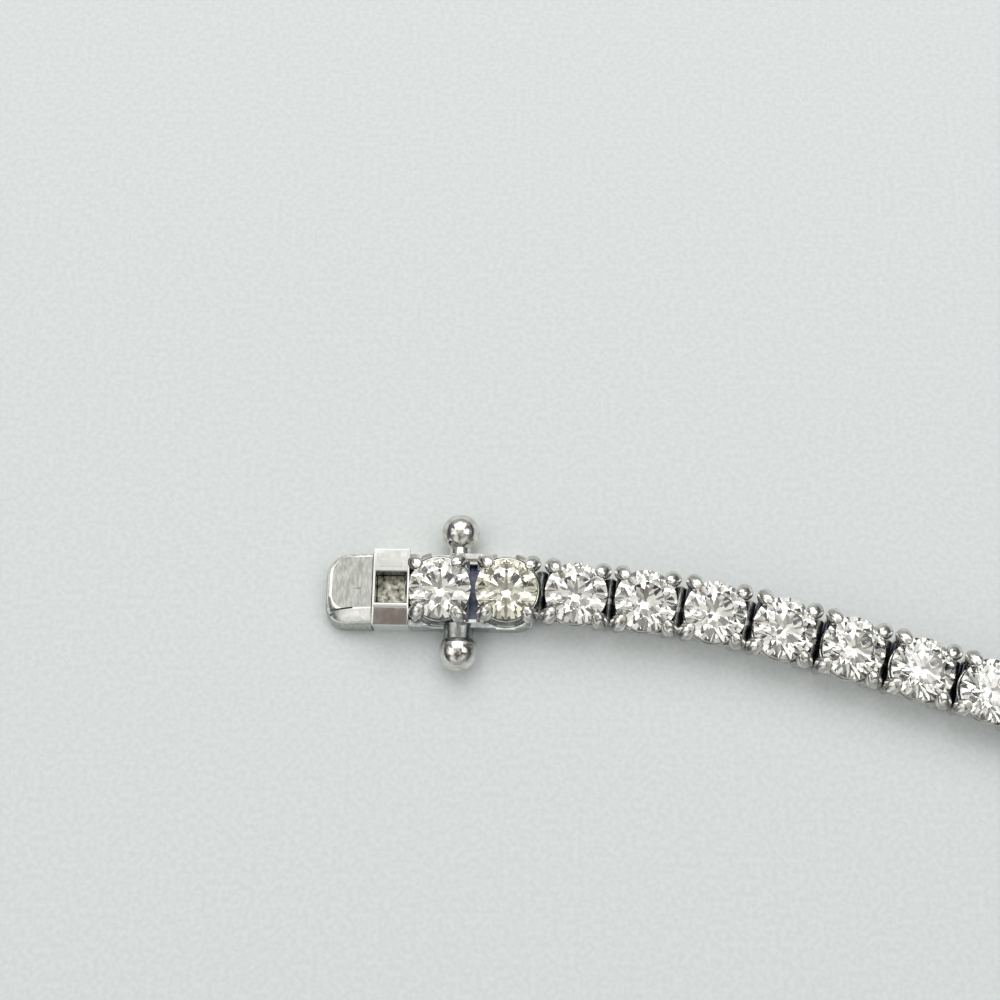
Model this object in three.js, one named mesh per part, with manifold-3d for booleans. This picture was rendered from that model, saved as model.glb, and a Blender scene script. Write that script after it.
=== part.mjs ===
// A tennis bracelet: round brilliants in hinged four-prong baskets, lying stones up in an open loop.
// Millimetres, +Z up. The origin is below the middle of the bounding box, on the surface it lies on.
import * as THREE from "three";
import { ConvexGeometry } from "three/addons/geometries/ConvexGeometry.js";
import { mergeVertices } from "three/addons/utils/BufferGeometryUtils.js";
import Module from "manifold-3d";

// The stone, by its cutter's proportions
const STONE_DIAMETER = 3.5;
const TABLE_SHARE = 0.57;
const CROWN_SHARE = 0.155;
const PAVILION_SHARE = 0.43;
const TABLE_SIDES = 8;
const GIRDLE_SIDES = 16;
const CULET_HEIGHT = 0.7;

// The prongs
const PRONG_TIP_RADIUS = 0.4;
const PRONG_FOOT_RADIUS = 0.24;
const PRONG_GRIP = 0.1;
const PRONG_DOME = 0.35;
const PRONG_BELOW_TABLE = 0.12;
const PRONG_SIDES = 5;
const PRONG_ANGLES = [45, 135, 225, 315];
const TIP_GAP = 0.24;

// The basket's base and its hinge
const BASE_HALF_LENGTH = 1.3;
const BASE_HALF_WIDTH = 1.5;
const BASE_BAR = 0.6;
const BASE_HEIGHT = 0.6;
const PRONG_INSET = 0.06;
const PIN_RADIUS = 0.18;
const PIN_PLAY = 0.16;
const PIN_SIDES = 5;
const HOLE_SIDES = 5;
const EYE_WALL = 0.2;
const EYE_THICKNESS = 0.7;
const EAR_THICKNESS = 0.35;
const EAR_WALL = 0.14;
const HINGE_SIDE_PLAY = 0.15;
const HINGE_ABOVE_FLOOR = 0.05;
const HINGE_OVERLAP = 0.2;

// The stiff station behind the tongue
const STATION_STONE_PITCH = 3.76;
const STATION_HALF_WIDTH = 2.13;
const STATION_WALL_HEIGHT = 1.7;
const STATION_TAIL = 1.7;
const STATION_TAIL_CORNER = 1.1;
const STATION_HEADING = -0.9;
const EAR_ROOM = 0.2;
const WELL_FOOT_RADIUS = 0.8;
const WELL_RADIUS = 1.35;
const WELL_SIDES = 12;
const COLLET_WALL = 0.25;
const COLLET_RISE = 0.05;
const SLOT_WIDTH = 0.63;
const SLOT_LENGTH = 3.1;
const SEAT_CLEARANCE = 0.13;
const BEARING_DEPTH = 0.3;
const STUD_PRONG_ANGLE = 57;

// The collar in front of the station, with its notch
const COLLAR_TO_STONE = 3.78;
const COLLAR_LENGTH = 2.08;
const COLLAR_HEIGHT = 2.3;
const NOTCH_WIDTH = 1.77;
const NOTCH_FRONT_WALL = 0.18;
const NOTCH_REAR_WALL = 0.15;
const NOTCH_FLOOR_ABOVE_TONGUE = 0.3;

// The ball studs on the station's two sides
const STUD_RADIUS = 1.06;
const STUD_OUT = 1.3;
const STUD_NECK_RADIUS = 0.6;
const STUD_ABOVE_FLOOR = 0.06;
const STUD_PAST_STONE = 1.09;
const STUD_SEGMENTS = [12, 8];

// The folded tongue: a lower plate, a nose and an upper plate with skirts down its sides
const TONGUE_LENGTH = 2.73;
const TONGUE_HALF_WIDTH = 2;
const TONGUE_PLATE = 0.35;
const TONGUE_ABOVE_FLOOR = 0.4;
const TONGUE_REAR_HEIGHT = 1.95;
const TONGUE_NOSE_HEIGHT = 1.4;
const TONGUE_NOSE_ROUNDING = 0.35;
const TONGUE_CORNER = 1.1;
const TONGUE_CLEARANCE = 0.12;
const TONGUE_ROOT_LENGTH = 1.1;
const TONGUE_ROOT_HALF_WIDTH = 1.4;

// The plain box that the tongue clicks into
const BOX_WALL = 0.4;
const BOX_PLAY = 0.15;
const BOX_END_WALL = 0.6;

// The route of the chain: where each photographed link points, and how far each hidden one turns
const LINK_COUNT = 41;
const SEEN_HEADINGS = [-6.1, -6.5, -11.7, -15.8, -16.9, -17.5, -18.1];
const HIDDEN_TURN = 7.3;

const STONE_RADIUS = STONE_DIAMETER / 2;
const CROWN_HEIGHT = CROWN_SHARE * STONE_DIAMETER;
const PAVILION_DEPTH = PAVILION_SHARE * STONE_DIAMETER;
const GIRDLE_HEIGHT = CULET_HEIGHT + PAVILION_DEPTH;
const TABLE_HEIGHT = GIRDLE_HEIGHT + CROWN_HEIGHT;
const PRONG_REACH = STONE_RADIUS + PRONG_TIP_RADIUS - PRONG_GRIP;
const PITCH = 2 * (PRONG_REACH * Math.SQRT1_2 + PRONG_TIP_RADIUS) + TIP_GAP;
const PIVOT = PITCH / 2;
const HINGE_START = BASE_HALF_LENGTH - HINGE_OVERLAP;
const HOLE_RADIUS = PIN_RADIUS + PIN_PLAY;
const EYE_RADIUS = HOLE_RADIUS + EYE_WALL;
const EAR_RADIUS = PIN_RADIUS + EAR_WALL;
const PIVOT_HEIGHT = HINGE_ABOVE_FLOOR + EYE_RADIUS;
const EAR_INSIDE = EYE_THICKNESS / 2 + HINGE_SIDE_PLAY;
const EAR_OUTSIDE = EAR_INSIDE + EAR_THICKNESS;
const COLLAR_FRONT = -COLLAR_TO_STONE;
const TONGUE_FLOOR_TOP = TONGUE_ABOVE_FLOOR + TONGUE_PLATE;

const wasm = await Module();
wasm.setup();

// A closed three.js geometry as a solid that can be cut and joined.
function solidOf(geometry) {
  const bare = geometry.index ? geometry.toNonIndexed() : geometry.clone();
  bare.deleteAttribute("normal");
  bare.deleteAttribute("uv");
  const merged = mergeVertices(bare, 1e-5);
  return new wasm.Manifold(
    new wasm.Mesh({
      numProp: 3,
      vertProperties: merged.attributes.position.array,
      triVerts: new Uint32Array(merged.index.array),
    }),
  );
}

// A solid back as a geometry with flat faces.
function geometryOf(solid) {
  const { vertProperties, triVerts } = solid.getMesh();
  const indexed = new THREE.BufferGeometry();
  indexed.setAttribute("position", new THREE.BufferAttribute(vertProperties, 3));
  indexed.setIndex(new THREE.BufferAttribute(triVerts, 1));
  const flat = indexed.toNonIndexed();
  flat.computeVertexNormals();
  return flat;
}

function joined(...solids) {
  return solids.reduce((whole, piece) => whole.add(piece));
}

// A box from its two ends along each axis.
function block(x, y, z) {
  const geometry = new THREE.BoxGeometry(x[1] - x[0], y[1] - y[0], z[1] - z[0]);
  geometry.translate((x[0] + x[1]) / 2, (y[0] + y[1]) / 2, (z[0] + z[1]) / 2);
  return solidOf(geometry);
}

// An outline in the plan, extruded upwards.
function upright(shape, bottom, top) {
  const geometry = new THREE.ExtrudeGeometry(shape, {
    depth: top - bottom,
    bevelEnabled: false,
    curveSegments: 5,
  });
  geometry.translate(0, 0, bottom);
  return solidOf(geometry);
}

// An outline seen from the side, in x and z, extruded across from one y to the other.
function across(shape, fromY, toY) {
  const geometry = new THREE.ExtrudeGeometry(shape, {
    depth: toY - fromY,
    bevelEnabled: false,
    curveSegments: 5,
  });
  geometry.rotateX(Math.PI / 2);
  geometry.translate(0, toY, 0);
  return solidOf(geometry);
}

// A round body between two points, from a profile of radius and distance along the axis.
// One of its edges faces the given way.
function turned(profile, from, to, sides, facing) {
  const points = profile.map(([radius, along]) => new THREE.Vector2(radius, along));
  const geometry = new THREE.LatheGeometry(points, sides);
  const along = new THREE.Vector3().subVectors(to, from).normalize();
  const edge = facing.clone().projectOnPlane(along).normalize();
  const side = new THREE.Vector3().crossVectors(along, edge);
  geometry.applyMatrix4(new THREE.Matrix4().makeBasis(side, along, edge).setPosition(from));
  return solidOf(geometry);
}

// Points on a circle, the first one turned on by a share of their spacing.
function ringOfPoints(count, radius, height, offset) {
  return Array.from({ length: count }, (_, i) => {
    const angle = (2 * Math.PI * (i + offset)) / count;
    return new THREE.Vector3(radius * Math.cos(angle), radius * Math.sin(angle), height);
  });
}

// The round brilliant at its height over the floor.
function brilliant() {
  const geometry = new ConvexGeometry([
    ...ringOfPoints(TABLE_SIDES, TABLE_SHARE * STONE_RADIUS, CROWN_HEIGHT, 0.25),
    ...ringOfPoints(GIRDLE_SIDES, STONE_RADIUS, 0, 0.5),
    new THREE.Vector3(0, 0, -PAVILION_DEPTH),
  ]);
  geometry.translate(0, 0, GIRDLE_HEIGHT);
  return solidOf(geometry);
}

// The level direction at an angle about a stone's axis.
function outwardsAt(angle) {
  const turn = THREE.MathUtils.degToRad(angle);
  return new THREE.Vector3(Math.cos(turn), Math.sin(turn), 0);
}

// A prong that leans from its foot to a rounded tip beside the girdle.
function prong(angle, foot) {
  const outwards = outwardsAt(angle);
  const tip = outwards.clone().multiplyScalar(PRONG_REACH).setZ(TABLE_HEIGHT - PRONG_BELOW_TABLE);
  const length = foot.distanceTo(tip);
  const profile = [
    [0, 0],
    [PRONG_FOOT_RADIUS, 0],
    [PRONG_TIP_RADIUS, length - PRONG_DOME],
    [0, length],
  ];
  return turned(profile, foot, tip, PRONG_SIDES, outwards.negate());
}

// A plate seen from the side, from inside a basket's base to a round end about the hinge's axis.
function hingePlate(side, endRadius, endSteps) {
  const shape = new THREE.Shape();
  shape.moveTo(side * HINGE_START, HINGE_ABOVE_FLOOR);
  for (let i = 0; i <= endSteps; i += 1) {
    const angle = Math.PI * (i / endSteps - 0.5);
    const out = PIVOT + endRadius * Math.cos(angle);
    shape.lineTo(side * out, PIVOT_HEIGHT + endRadius * Math.sin(angle));
  }
  shape.lineTo(side * HINGE_START, BASE_HEIGHT);
  return shape;
}

// The eye that stands out ahead of a basket, on the side of rising x.
function hingeEye() {
  const shape = hingePlate(1, EYE_RADIUS, 3);
  const hole = ringOfPoints(HOLE_SIDES, HOLE_RADIUS, 0, 0);
  shape.holes.push(
    new THREE.Path(hole.map((p) => new THREE.Vector2(PIVOT + p.x, PIVOT_HEIGHT + p.y))),
  );
  return across(shape, -EYE_THICKNESS / 2, EYE_THICKNESS / 2);
}

// Two ears behind a basket and the pin between them, which the eye of the piece before goes round.
function hingeEars() {
  const shape = hingePlate(-1, EAR_RADIUS, 2);
  const pinEnd = (EAR_INSIDE + EAR_OUTSIDE) / 2;
  const profile = [
    [0, 0],
    [PIN_RADIUS, 0],
    [PIN_RADIUS, 2 * pinEnd],
    [0, 2 * pinEnd],
  ];
  const from = new THREE.Vector3(-PIVOT, -pinEnd, PIVOT_HEIGHT);
  const to = new THREE.Vector3(-PIVOT, pinEnd, PIVOT_HEIGHT);
  return joined(
    across(shape, EAR_INSIDE, EAR_OUTSIDE),
    across(shape, -EAR_OUTSIDE, -EAR_INSIDE),
    turned(profile, from, to, PIN_SIDES, new THREE.Vector3(0, 0, 1)),
  );
}

// A block about a stone's axis, from its half length and half width.
function blockAbout(halfLength, halfWidth, z) {
  return block([-halfLength, halfLength], [-halfWidth, halfWidth], z);
}

// One link: a square base, four prongs, the stone fused to them, an eye ahead and ears behind.
function linkSolid() {
  const base = blockAbout(BASE_HALF_LENGTH, BASE_HALF_WIDTH, [0, BASE_HEIGHT]).subtract(
    blockAbout(BASE_HALF_LENGTH - BASE_BAR, BASE_HALF_WIDTH - BASE_BAR, [-1, BASE_HEIGHT + 1]),
  );
  const fromSide = PRONG_FOOT_RADIUS + PRONG_INSET;
  const prongs = PRONG_ANGLES.map((angle) => {
    const outwards = outwardsAt(angle);
    const footX = Math.sign(outwards.x) * (BASE_HALF_LENGTH - fromSide);
    const footY = Math.sign(outwards.y) * (BASE_HALF_WIDTH - fromSide);
    return prong(angle, new THREE.Vector3(footX, footY, BASE_HEIGHT / 2));
  });
  return joined(base, ...prongs, brilliant(), hingeEye(), hingeEars());
}

// An upright round body about a stone's axis, straight or conical.
function pillar(footRadius, topRadius, bottom, top) {
  const profile = [
    [0, 0],
    [footRadius, 0],
    [topRadius, top - bottom],
    [0, top - bottom],
  ];
  const from = new THREE.Vector3(0, 0, bottom);
  const to = new THREE.Vector3(0, 0, top);
  return turned(profile, from, to, WELL_SIDES, new THREE.Vector3(1, 0, 0));
}

// The room that a loose stone keeps in the prongs round it.
function stoneRoom() {
  const reach = (STONE_RADIUS + SEAT_CLEARANCE) / Math.cos(Math.PI / WELL_SIDES);
  const top = BEARING_DEPTH + CROWN_HEIGHT + SEAT_CLEARANCE;
  const profile = [
    [0, 0],
    [reach, 0],
    [reach, BEARING_DEPTH + SEAT_CLEARANCE],
    [TABLE_SHARE * STONE_RADIUS + SEAT_CLEARANCE, top],
    [0, top],
  ];
  const from = new THREE.Vector3(0, 0, GIRDLE_HEIGHT - BEARING_DEPTH);
  const to = new THREE.Vector3(0, 0, TABLE_HEIGHT);
  return turned(profile, from, to, WELL_SIDES, new THREE.Vector3(1, 0, 0));
}

// The station's outline in the plan: square at the collar, rounded at its tail.
function stationOutline() {
  const end = STATION_STONE_PITCH + STATION_TAIL;
  const shape = new THREE.Shape();
  shape.moveTo(COLLAR_FRONT, -STATION_HALF_WIDTH);
  shape.lineTo(end - STATION_TAIL_CORNER, -STATION_HALF_WIDTH);
  shape.absarc(
    end - STATION_TAIL_CORNER,
    STATION_TAIL_CORNER - STATION_HALF_WIDTH,
    STATION_TAIL_CORNER,
    -Math.PI / 2,
    0,
    false,
  );
  shape.absarc(
    end - STATION_TAIL_CORNER,
    STATION_HALF_WIDTH - STATION_TAIL_CORNER,
    STATION_TAIL_CORNER,
    0,
    Math.PI / 2,
    false,
  );
  shape.lineTo(COLLAR_FRONT, STATION_HALF_WIDTH);
  return shape;
}

// A ball on a short neck, standing out of the station's wall on one side.
function stud(side) {
  const centre = new THREE.Vector3(
    STUD_PAST_STONE,
    side * (STATION_HALF_WIDTH + STUD_OUT),
    STUD_ABOVE_FLOOR + STUD_RADIUS,
  );
  const ball = new THREE.SphereGeometry(STUD_RADIUS, ...STUD_SEGMENTS);
  ball.rotateX(Math.PI / 2);
  ball.translate(centre.x, centre.y, centre.z);
  const root = centre.clone().setY(side * (STATION_HALF_WIDTH - COLLET_WALL));
  const length = root.distanceTo(centre);
  const neck = [
    [0, 0],
    [STUD_NECK_RADIUS, 0],
    [STUD_NECK_RADIUS, length],
    [0, length],
  ];
  return joined(solidOf(ball), turned(neck, root, centre, 8, new THREE.Vector3(0, 0, 1)));
}

// The station: walls round two open wells with collets and prongs, the collar, the studs and an eye.
function stationSolid() {
  const second = [STATION_STONE_PITCH, 0, 0];
  const wellTop = STATION_WALL_HEIGHT + COLLET_RISE;
  const colletRadius = WELL_RADIUS + COLLET_WALL;
  const collet = pillar(colletRadius, colletRadius, STATION_WALL_HEIGHT / 2, wellTop);
  const well = joined(
    pillar(WELL_FOOT_RADIUS, WELL_FOOT_RADIUS, -1, 0),
    pillar(WELL_FOOT_RADIUS, WELL_RADIUS, 0, wellTop),
    pillar(WELL_RADIUS, WELL_RADIUS, wellTop, wellTop + 1),
  );
  const middle = STATION_STONE_PITCH / 2;
  const slot = block(
    [middle - SLOT_WIDTH / 2, middle + SLOT_WIDTH / 2],
    [-SLOT_LENGTH / 2, SLOT_LENGTH / 2],
    [-1, wellTop + 1],
  );
  const earRoom = block(
    [STATION_STONE_PITCH + PIVOT - EAR_RADIUS - EAR_ROOM, STATION_STONE_PITCH + STATION_TAIL + 1],
    [-EAR_OUTSIDE - EAR_ROOM, EAR_OUTSIDE + EAR_ROOM],
    [-1, PIVOT_HEIGHT + EAR_RADIUS + EAR_ROOM],
  );
  const collarEnd = COLLAR_FRONT + COLLAR_LENGTH;
  const collar = block(
    [COLLAR_FRONT, collarEnd],
    [-STATION_HALF_WIDTH, STATION_HALF_WIDTH],
    [0, COLLAR_HEIGHT],
  );
  const notch = block(
    [COLLAR_FRONT + NOTCH_FRONT_WALL, collarEnd - NOTCH_REAR_WALL],
    [-NOTCH_WIDTH / 2, NOTCH_WIDTH / 2],
    [TONGUE_FLOOR_TOP + TONGUE_CLEARANCE + NOTCH_FLOOR_ABOVE_TONGUE, COLLAR_HEIGHT + 1],
  );
  const tonguePocket = block(
    [COLLAR_FRONT - 1, COLLAR_FRONT + TONGUE_ROOT_LENGTH + TONGUE_CLEARANCE],
    [-TONGUE_ROOT_HALF_WIDTH - TONGUE_CLEARANCE, TONGUE_ROOT_HALF_WIDTH + TONGUE_CLEARANCE],
    [TONGUE_ABOVE_FLOOR - TONGUE_CLEARANCE, TONGUE_FLOOR_TOP + TONGUE_CLEARANCE],
  );
  const hollow = joined(well, well.translate(second), slot, earRoom);
  const walls = joined(
    upright(stationOutline(), 0, STATION_WALL_HEIGHT),
    collet,
    collet.translate(second),
  ).subtract(hollow);
  const footReach = WELL_RADIUS + PRONG_FOOT_RADIUS + PRONG_INSET;
  const rooted = (angle) =>
    prong(angle, outwardsAt(angle).multiplyScalar(footReach).setZ(STATION_WALL_HEIGHT / 2));
  const firstAngles = [STUD_PRONG_ANGLE, 135, 225, -STUD_PRONG_ANGLE];
  const firstProngs = firstAngles.map(rooted);
  const secondProngs = PRONG_ANGLES.map((angle) => rooted(angle).translate(second));
  const seat = stoneRoom();
  return joined(
    walls,
    collar.subtract(notch),
    ...firstProngs,
    ...secondProngs,
    stud(1),
    stud(-1),
    hingeEye().translate(second),
  ).subtract(joined(tonguePocket, seat, seat.translate(second)));
}

// The tongue's plan: its root's full width at the collar, rounded corners at its nose.
function tonguePlan() {
  const nose = COLLAR_FRONT - TONGUE_LENGTH;
  const centreX = nose + TONGUE_CORNER;
  const centreY = TONGUE_HALF_WIDTH - TONGUE_CORNER;
  const shape = new THREE.Shape();
  shape.moveTo(COLLAR_FRONT, -TONGUE_HALF_WIDTH);
  shape.lineTo(COLLAR_FRONT, TONGUE_HALF_WIDTH);
  shape.absarc(centreX, centreY, TONGUE_CORNER, Math.PI / 2, Math.PI, false);
  shape.absarc(centreX, -centreY, TONGUE_CORNER, Math.PI, 1.5 * Math.PI, false);
  return shape;
}

// The tongue's side view: flat below, a rounded nose, and a top that springs up towards the collar.
function tongueSide() {
  const nose = COLLAR_FRONT - TONGUE_LENGTH;
  const rear = COLLAR_FRONT - TONGUE_CLEARANCE;
  const round = TONGUE_NOSE_ROUNDING;
  const shape = new THREE.Shape();
  shape.moveTo(rear, TONGUE_ABOVE_FLOOR);
  shape.lineTo(rear, TONGUE_REAR_HEIGHT);
  shape.lineTo(nose + round, TONGUE_NOSE_HEIGHT);
  shape.absarc(nose + round, TONGUE_NOSE_HEIGHT - round, round, Math.PI / 2, Math.PI, false);
  shape.absarc(nose + round, TONGUE_ABOVE_FLOOR + round, round, Math.PI, 1.5 * Math.PI, false);
  return shape;
}

// The gap between the tongue's two plates, seen from the side and open towards the collar.
function tongueGap() {
  const inner = COLLAR_FRONT - TONGUE_LENGTH + TONGUE_PLATE + TONGUE_NOSE_ROUNDING;
  const shape = new THREE.Shape();
  shape.moveTo(COLLAR_FRONT, TONGUE_FLOOR_TOP);
  shape.lineTo(COLLAR_FRONT, TONGUE_REAR_HEIGHT - TONGUE_PLATE);
  shape.lineTo(inner, TONGUE_NOSE_HEIGHT - TONGUE_PLATE);
  shape.lineTo(inner, TONGUE_FLOOR_TOP);
  return shape;
}

// The tongue: one folded plate, its skirts slit from the lower plate, its root inside the collar.
function tongueSolid() {
  const wide = TONGUE_HALF_WIDTH;
  const insideSkirts = wide - TONGUE_PLATE;
  const slit = block(
    [COLLAR_FRONT - TONGUE_LENGTH + TONGUE_CORNER, COLLAR_FRONT + 1],
    [-wide - 1, wide + 1],
    [TONGUE_FLOOR_TOP, TONGUE_FLOOR_TOP + TONGUE_CLEARANCE],
  );
  const root = block(
    [COLLAR_FRONT - TONGUE_PLATE, COLLAR_FRONT + TONGUE_ROOT_LENGTH],
    [-TONGUE_ROOT_HALF_WIDTH, TONGUE_ROOT_HALF_WIDTH],
    [TONGUE_ABOVE_FLOOR, TONGUE_FLOOR_TOP],
  );
  return across(tongueSide(), -wide, wide)
    .intersect(upright(tonguePlan(), 0, TONGUE_REAR_HEIGHT + 1))
    .subtract(joined(across(tongueGap(), -insideSkirts, insideSkirts), slit))
    .add(root);
}

// The box: a floor, a roof, two sides and an end wall round the tongue's room, with ears behind.
function boxSolid() {
  const roomStart = BOX_END_WALL - BASE_HALF_LENGTH;
  const mouth = roomStart + TONGUE_LENGTH + BOX_PLAY;
  const roomHalf = TONGUE_HALF_WIDTH + BOX_PLAY;
  const outerHalf = roomHalf + BOX_WALL;
  const shell = block([-BASE_HALF_LENGTH, mouth], [-outerHalf, outerHalf], [0, COLLAR_HEIGHT]);
  const room = block(
    [roomStart, mouth + 1],
    [-roomHalf, roomHalf],
    [TONGUE_ABOVE_FLOOR - BOX_PLAY, COLLAR_HEIGHT - BOX_WALL],
  );
  return joined(shell.subtract(room), hingeEars());
}

function material(color, roughness, metalness) {
  return new THREE.MeshStandardMaterial({ color, roughness, metalness });
}

function named(name, geometry, look) {
  const mesh = new THREE.Mesh(geometry, look);
  mesh.name = name;
  return mesh;
}

const whiteGold = material(0xd8d8d2, 0.15, 1);
const satinGold = material(0xb9bab4, 0.4, 1);
const whiteStone = material(0xf2f4f5, 0.05, 0);
const champagneStone = material(0xe9e3bd, 0.05, 0);

const bracelet = new THREE.Group();
const linkGeometry = geometryOf(linkSolid());
const stoneGeometry = geometryOf(brilliant());
const heading = THREE.MathUtils.degToRad(STATION_HEADING);

// The open end: tongue, station and the station's two stones, about the first stone's axis
const clasp = new THREE.Group();
const secondStone = named("station_stone_2", stoneGeometry, champagneStone);
secondStone.position.x = STATION_STONE_PITCH;
clasp.add(
  named("tongue", geometryOf(tongueSolid()), satinGold),
  named("clasp_station", geometryOf(stationSolid()), whiteGold),
  named("station_stone_1", stoneGeometry, whiteStone),
  secondStone,
);
clasp.rotation.z = heading;
bracelet.add(clasp);

// A piece is set half a pitch past the hinge before it, and the next hinge is half a pitch on
const hinge = new THREE.Vector3(STATION_STONE_PITCH + PIVOT, 0, 0).applyEuler(clasp.rotation);
function hang(mesh, degrees) {
  const turn = THREE.MathUtils.degToRad(degrees);
  const ahead = new THREE.Vector3(Math.cos(turn), Math.sin(turn), 0);
  mesh.rotation.z = turn;
  mesh.position.copy(hinge).addScaledVector(ahead, PIVOT);
  hinge.addScaledVector(ahead, PITCH);
  bracelet.add(mesh);
}

const lastSeen = SEEN_HEADINGS.length - 1;
function headingOf(place) {
  if (place <= lastSeen) return SEEN_HEADINGS[place];
  return SEEN_HEADINGS[lastSeen] - HIDDEN_TURN * (place - lastSeen);
}

for (let place = 0; place < LINK_COUNT; place += 1) {
  const number = String(place + 1).padStart(2, "0");
  hang(named(`link_${number}`, linkGeometry, whiteGold), headingOf(place));
}
hang(named("box_catch", geometryOf(boxSolid()), whiteGold), headingOf(LINK_COUNT));

// The origin goes below the middle of the box round the whole bracelet
const bounds = new THREE.Box3().setFromObject(bracelet, true);
const middle = bounds.getCenter(new THREE.Vector3());
bracelet.position.set(-middle.x, -middle.y, -bounds.min.z);

export default bracelet;
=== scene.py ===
import math

import bpy
from mathutils import Matrix, Vector


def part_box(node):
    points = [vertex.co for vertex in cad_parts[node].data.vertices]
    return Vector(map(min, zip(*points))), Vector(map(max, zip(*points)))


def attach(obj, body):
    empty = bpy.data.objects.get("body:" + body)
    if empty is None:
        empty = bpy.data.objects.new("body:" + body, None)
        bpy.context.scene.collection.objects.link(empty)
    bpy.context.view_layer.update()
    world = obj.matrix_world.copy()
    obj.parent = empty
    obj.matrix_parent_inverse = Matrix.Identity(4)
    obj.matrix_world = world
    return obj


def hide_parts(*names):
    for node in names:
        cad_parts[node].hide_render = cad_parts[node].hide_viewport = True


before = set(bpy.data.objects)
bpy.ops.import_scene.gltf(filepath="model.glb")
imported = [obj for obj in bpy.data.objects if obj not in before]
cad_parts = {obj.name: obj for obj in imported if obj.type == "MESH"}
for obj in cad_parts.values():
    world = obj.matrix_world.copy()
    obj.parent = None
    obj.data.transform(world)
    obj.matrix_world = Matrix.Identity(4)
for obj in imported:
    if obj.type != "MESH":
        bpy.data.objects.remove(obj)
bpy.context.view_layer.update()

# The camera: it looks steeply down on the clasp end from the near side, square to the frame.
# The clasp and seven links fill the middle and right of the picture, and the rest lies outside it.
# Lengths here are in metres, but the sensor and the lens have theirs in millimetres.
AIM = Vector((-0.017235, 0.03743, 0.0))
ELEVATION = math.radians(74.35)
CAMERA_DISTANCE = 0.0785
SENSOR_WIDTH = 36
FOCAL_LENGTH = 47.87
NEAREST = 0.005

camera_lens = bpy.data.cameras.new("camera")
camera_lens.sensor_width = SENSOR_WIDTH
camera_lens.lens = FOCAL_LENGTH
camera_lens.clip_start = NEAREST
camera = bpy.data.objects.new("camera", camera_lens)
bpy.context.scene.collection.objects.link(camera)
camera.location = AIM + CAMERA_DISTANCE * Vector((0, -math.cos(ELEVATION), math.sin(ELEVATION)))
camera.rotation_euler = (math.pi / 2 - ELEVATION, 0, 0)
bpy.context.scene.camera = camera
bpy.context.scene.view_settings.view_transform = "Standard"

# The surface it lies on: a sheet of pale grey card, large and plain, with a fine tooth in its face.
# The softboxes hang over it, the largest on the far side, so shadows fall softly to the near side.
CARD_SIZE = 3.0
CARD_DROP = 0.00001
CARD_GRAIN = 3400
CARD_TOOTH = 5000
CARD_TOOTH_DEPTH = 0.00002
CARD_SHADES = [(0.36, (0.70, 0.735, 0.73)), (0.64, (0.755, 0.785, 0.78))]


def new_material(name):
    """A material with its shader and its tree of nodes."""
    material = bpy.data.materials.new(name)
    material.use_nodes = True
    tree = material.node_tree
    return material, tree.nodes["Principled BSDF"], tree


def noise(tree, scale, detail=2.0, stretch=(1, 1, 1)):
    """Noise over the piece's own coordinates, whose features are about 1/scale metres wide."""
    coordinates = tree.nodes.new("ShaderNodeTexCoord")
    mapping = tree.nodes.new("ShaderNodeMapping")
    mapping.inputs["Scale"].default_value = stretch
    texture = tree.nodes.new("ShaderNodeTexNoise")
    texture.inputs["Scale"].default_value = scale
    texture.inputs["Detail"].default_value = detail
    tree.links.new(coordinates.outputs["Object"], mapping.inputs["Vector"])
    tree.links.new(mapping.outputs["Vector"], texture.inputs["Vector"])
    return texture.outputs["Fac"]


def shades(tree, value, stops):
    """A colour ramp over a value, from stops of place and colour."""
    ramp = tree.nodes.new("ShaderNodeValToRGB")
    points = ramp.color_ramp.elements
    for point, (place, colour) in ((points[0], stops[0]), (points[1], stops[-1])):
        point.position, point.color = place, (*colour, 1)
    for place, colour in stops[1:-1]:
        points.new(place).color = (*colour, 1)
    tree.links.new(value, ramp.inputs["Fac"])
    return ramp.outputs["Color"]


def spread(tree, value, low, high):
    """The value's middle range spread between a low and a high number."""
    spreader = tree.nodes.new("ShaderNodeMapRange")
    spreader.inputs["From Min"].default_value = 0.3
    spreader.inputs["From Max"].default_value = 0.7
    spreader.inputs["To Min"].default_value = low
    spreader.inputs["To Max"].default_value = high
    tree.links.new(value, spreader.inputs["Value"])
    return spreader.outputs["Result"]


def relief(tree, shader, height, strength, depth):
    """A bump of the given depth in metres on the shader's normal."""
    bump = tree.nodes.new("ShaderNodeBump")
    bump.inputs["Strength"].default_value = strength
    bump.inputs["Distance"].default_value = depth
    tree.links.new(height, bump.inputs["Height"])
    tree.links.new(bump.outputs["Normal"], shader.inputs["Normal"])


card, card_shader, card_tree = new_material("card")
card_shader.inputs["Roughness"].default_value = 0.75
card_grain = noise(card_tree, CARD_GRAIN)
card_tree.links.new(shades(card_tree, card_grain, CARD_SHADES), card_shader.inputs["Base Color"])
relief(card_tree, card_shader, noise(card_tree, CARD_TOOTH, 3.0), 0.05, CARD_TOOTH_DEPTH)
bpy.ops.object.select_all(action="DESELECT")
bpy.ops.mesh.primitive_plane_add(size=CARD_SIZE, location=(0, 0, -CARD_DROP))
floor = bpy.context.object
floor.name = "card_surface"
floor.data.materials.append(card)

SOFTBOXES = [
    # name, azimuth and elevation in degrees, distance, width, height, radiance
    ("softbox_far", 90, 52, 0.45, 0.50, 0.34, 1.92),
    ("softbox_left", 178, 50, 0.45, 0.26, 0.30, 1.0),
    ("softbox_right", 5, 52, 0.45, 0.22, 0.30, 1.0),
    ("softbox_near", 248, 30, 0.50, 0.30, 0.14, 0.42),
    ("softbox_top", 110, 78, 0.45, 0.16, 0.10, 0.45),
]
CLASP_PLACE = Vector((-0.015, 0.030, 0.0))

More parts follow.
